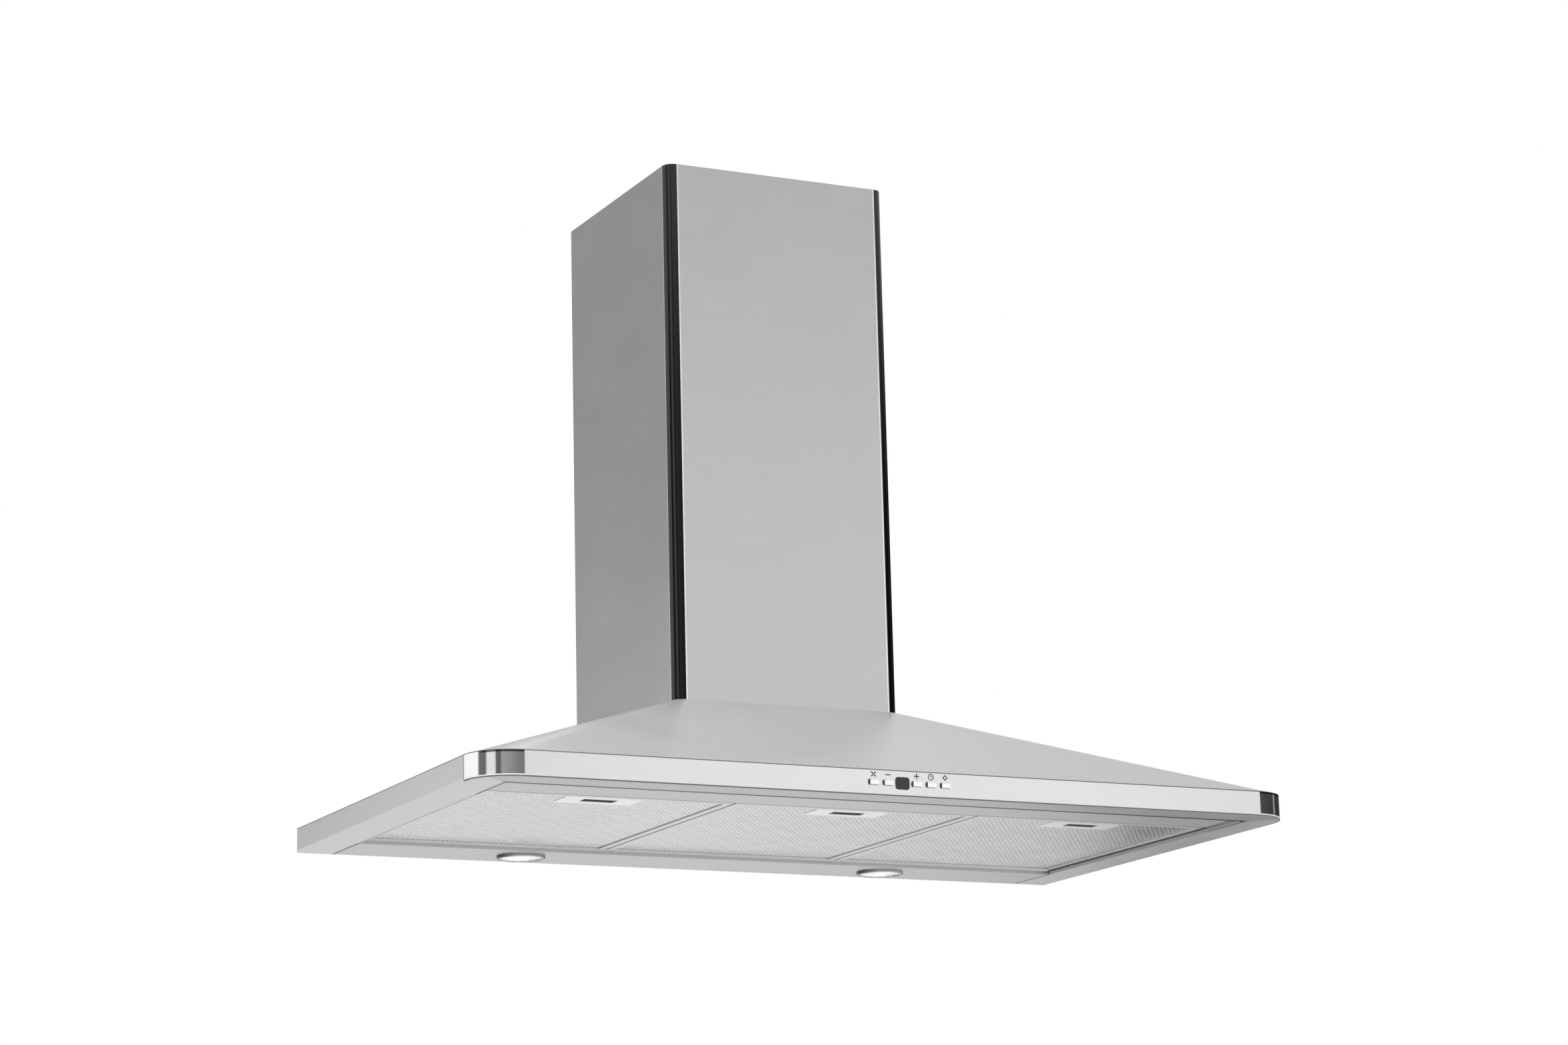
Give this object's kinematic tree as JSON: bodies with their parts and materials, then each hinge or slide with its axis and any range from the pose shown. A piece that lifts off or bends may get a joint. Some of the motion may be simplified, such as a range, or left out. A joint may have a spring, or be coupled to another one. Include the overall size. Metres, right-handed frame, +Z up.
{
  "type": "wall mount range hood",
  "caption": "Wall mount range hood: a flat pyramid steel canopy with latched grease filters, lamps and push buttons under a telescopic chimney that hides the blower and duct collar.",
  "frame": {"origin": "on the wall plane, at mid width, level with the canopy's lower rim", "axes": "+Y into the wall, so the front faces -Y; +X to the right as seen from the front; +Z up"},
  "size_m": [0.9, 0.5252, 0.721],
  "materials": {
    "stainless_sheet": "fine brushed stainless steel",
    "zinc_sheet": "dull zinc-coated sheet",
    "filter_aluminium": "bare expanded aluminium",
    "chrome_trim": "polished",
    "lamp_glass": "patterned clear glass",
    "lamp_aluminium": "cast, matt",
    "button_white": "satin",
    "display_dark": "smoked, glossy",
    "latch_grey": "moulded, fine grain",
    "black_plastic": "moulded, fine grain",
    "board_green": "coated board",
    "motor_black": "satin paint",
    "shaft_steel": "ground or zinc-plated steel",
    "capacitor_white": "satin",
    "lead_sheath": "matt grey sheath"
  },
  "bodies": {
    "hood": {"canopy_shell": "stainless_sheet", "front_band": "stainless_sheet", "left_side_band": "stainless_sheet", "right_side_band": "stainless_sheet", "front_inner_panel": "stainless_sheet", "rear_lamp_panel": "stainless_sheet", "lower_chimney": "stainless_sheet", "back_plate": "zinc_sheet", "blower_housing_left": "zinc_sheet", "blower_housing_right": "zinc_sheet", "motor_bracket": "zinc_sheet", "blower_bracket_left": "zinc_sheet", "blower_bracket_right": "zinc_sheet", "lamp_bezel_left": "chrome_trim", "lamp_bezel_right": "chrome_trim", "lamp_lens_left": "lamp_glass", "lamp_lens_right": "lamp_glass", "lamp_body_left": "lamp_aluminium", "lamp_body_right": "lamp_aluminium", "display_window": "display_dark", "control_housing": "black_plastic", "terminal_box": "black_plastic", "terminal_cover": "black_plastic", "cable_gland": "black_plastic", "outlet_adaptor": "black_plastic", "control_board": "board_green", "motor_body": "motor_black", "flap_rod": "shaft_steel", "lamp_panel_screws": "shaft_steel", "motor_screws": "shaft_steel", "bracket_screws": "shaft_steel", "capacitor": "capacitor_white", "lamp_lead_left": "lead_sheath", "lamp_lead_right": "lead_sheath", "control_lead": "lead_sheath"},
    "fan": {"impeller": "black_plastic", "motor_shaft": "shaft_steel"},
    "flap_front": {"flap_front": "black_plastic"},
    "flap_rear": {"flap_rear": "black_plastic"},
    "upper_chimney": {"upper_chimney": "stainless_sheet", "wall_bracket": "zinc_sheet", "chimney_screws": "shaft_steel"},
    "filter_1": {"filter_frame_1": "filter_aluminium", "filter_mesh_1": "filter_aluminium", "filter_handle_1": "stainless_sheet"},
    "latch_1": {"latch_1": "latch_grey"},
    "filter_2": {"filter_frame_2": "filter_aluminium", "filter_mesh_2": "filter_aluminium", "filter_handle_2": "stainless_sheet"},
    "latch_2": {"latch_2": "latch_grey"},
    "filter_3": {"filter_frame_3": "filter_aluminium", "filter_mesh_3": "filter_aluminium", "filter_handle_3": "stainless_sheet"},
    "latch_3": {"latch_3": "latch_grey"},
    "button_1": {"button_1": "button_white"},
    "button_2": {"button_2": "button_white"},
    "button_3": {"button_3": "button_white"},
    "button_4": {"button_4": "button_white"},
    "button_5": {"button_5": "button_white"}
  },
  "joints": [
    {"name": "fan_spin", "type": "hinge", "parent": "hood", "child": "fan", "pos_m": [0, -0.141, 0.248], "axis": [1, 0, 0], "continuous": true},
    {"name": "front_flap_swing", "type": "hinge", "parent": "hood", "child": "flap_front", "pos_m": [0, -0.131, 0.41358], "axis": [-1, 0, 0], "range_deg": [0, 80]},
    {"name": "rear_flap_swing", "type": "hinge", "parent": "hood", "child": "flap_rear", "pos_m": [0, -0.131, 0.41358], "axis": [1, 0, 0], "range_deg": [0, 80]},
    {"name": "upper_chimney_lift", "type": "slide", "parent": "hood", "child": "upper_chimney", "axis": [0, 0, 1], "range_m": [0, 0.4]},
    {"name": "filter_1_swing", "type": "hinge", "parent": "hood", "child": "filter_1", "pos_m": [-0.27267, -0.081, 0.0054], "axis": [1, 0, 0], "range_deg": [0, 65]},
    {"name": "latch_1_slide", "type": "slide", "parent": "filter_1", "child": "latch_1", "axis": [0, 1, 0], "range_m": [0, 0.005], "stiffness_N_per_m": 400},
    {"name": "filter_2_swing", "type": "hinge", "parent": "hood", "child": "filter_2", "pos_m": [0, -0.081, 0.0054], "axis": [1, 0, 0], "range_deg": [0, 65]},
    {"name": "latch_2_slide", "type": "slide", "parent": "filter_2", "child": "latch_2", "axis": [0, 1, 0], "range_m": [0, 0.005], "stiffness_N_per_m": 400},
    {"name": "filter_3_swing", "type": "hinge", "parent": "hood", "child": "filter_3", "pos_m": [0.27267, -0.081, 0.0054], "axis": [1, 0, 0], "range_deg": [0, 65]},
    {"name": "latch_3_slide", "type": "slide", "parent": "filter_3", "child": "latch_3", "axis": [0, 1, 0], "range_m": [0, 0.005], "stiffness_N_per_m": 400},
    {"name": "button_1_press", "type": "slide", "parent": "hood", "child": "button_1", "axis": [0, 1, 0], "range_m": [0, 0.0012], "stiffness_N_per_m": 800},
    {"name": "button_2_press", "type": "slide", "parent": "hood", "child": "button_2", "axis": [0, 1, 0], "range_m": [0, 0.0012], "stiffness_N_per_m": 800},
    {"name": "button_3_press", "type": "slide", "parent": "hood", "child": "button_3", "axis": [0, 1, 0], "range_m": [0, 0.0012], "stiffness_N_per_m": 800},
    {"name": "button_4_press", "type": "slide", "parent": "hood", "child": "button_4", "axis": [0, 1, 0], "range_m": [0, 0.0012], "stiffness_N_per_m": 800},
    {"name": "button_5_press", "type": "slide", "parent": "hood", "child": "button_5", "axis": [0, 1, 0], "range_m": [0, 0.0012], "stiffness_N_per_m": 800}
  ]
}
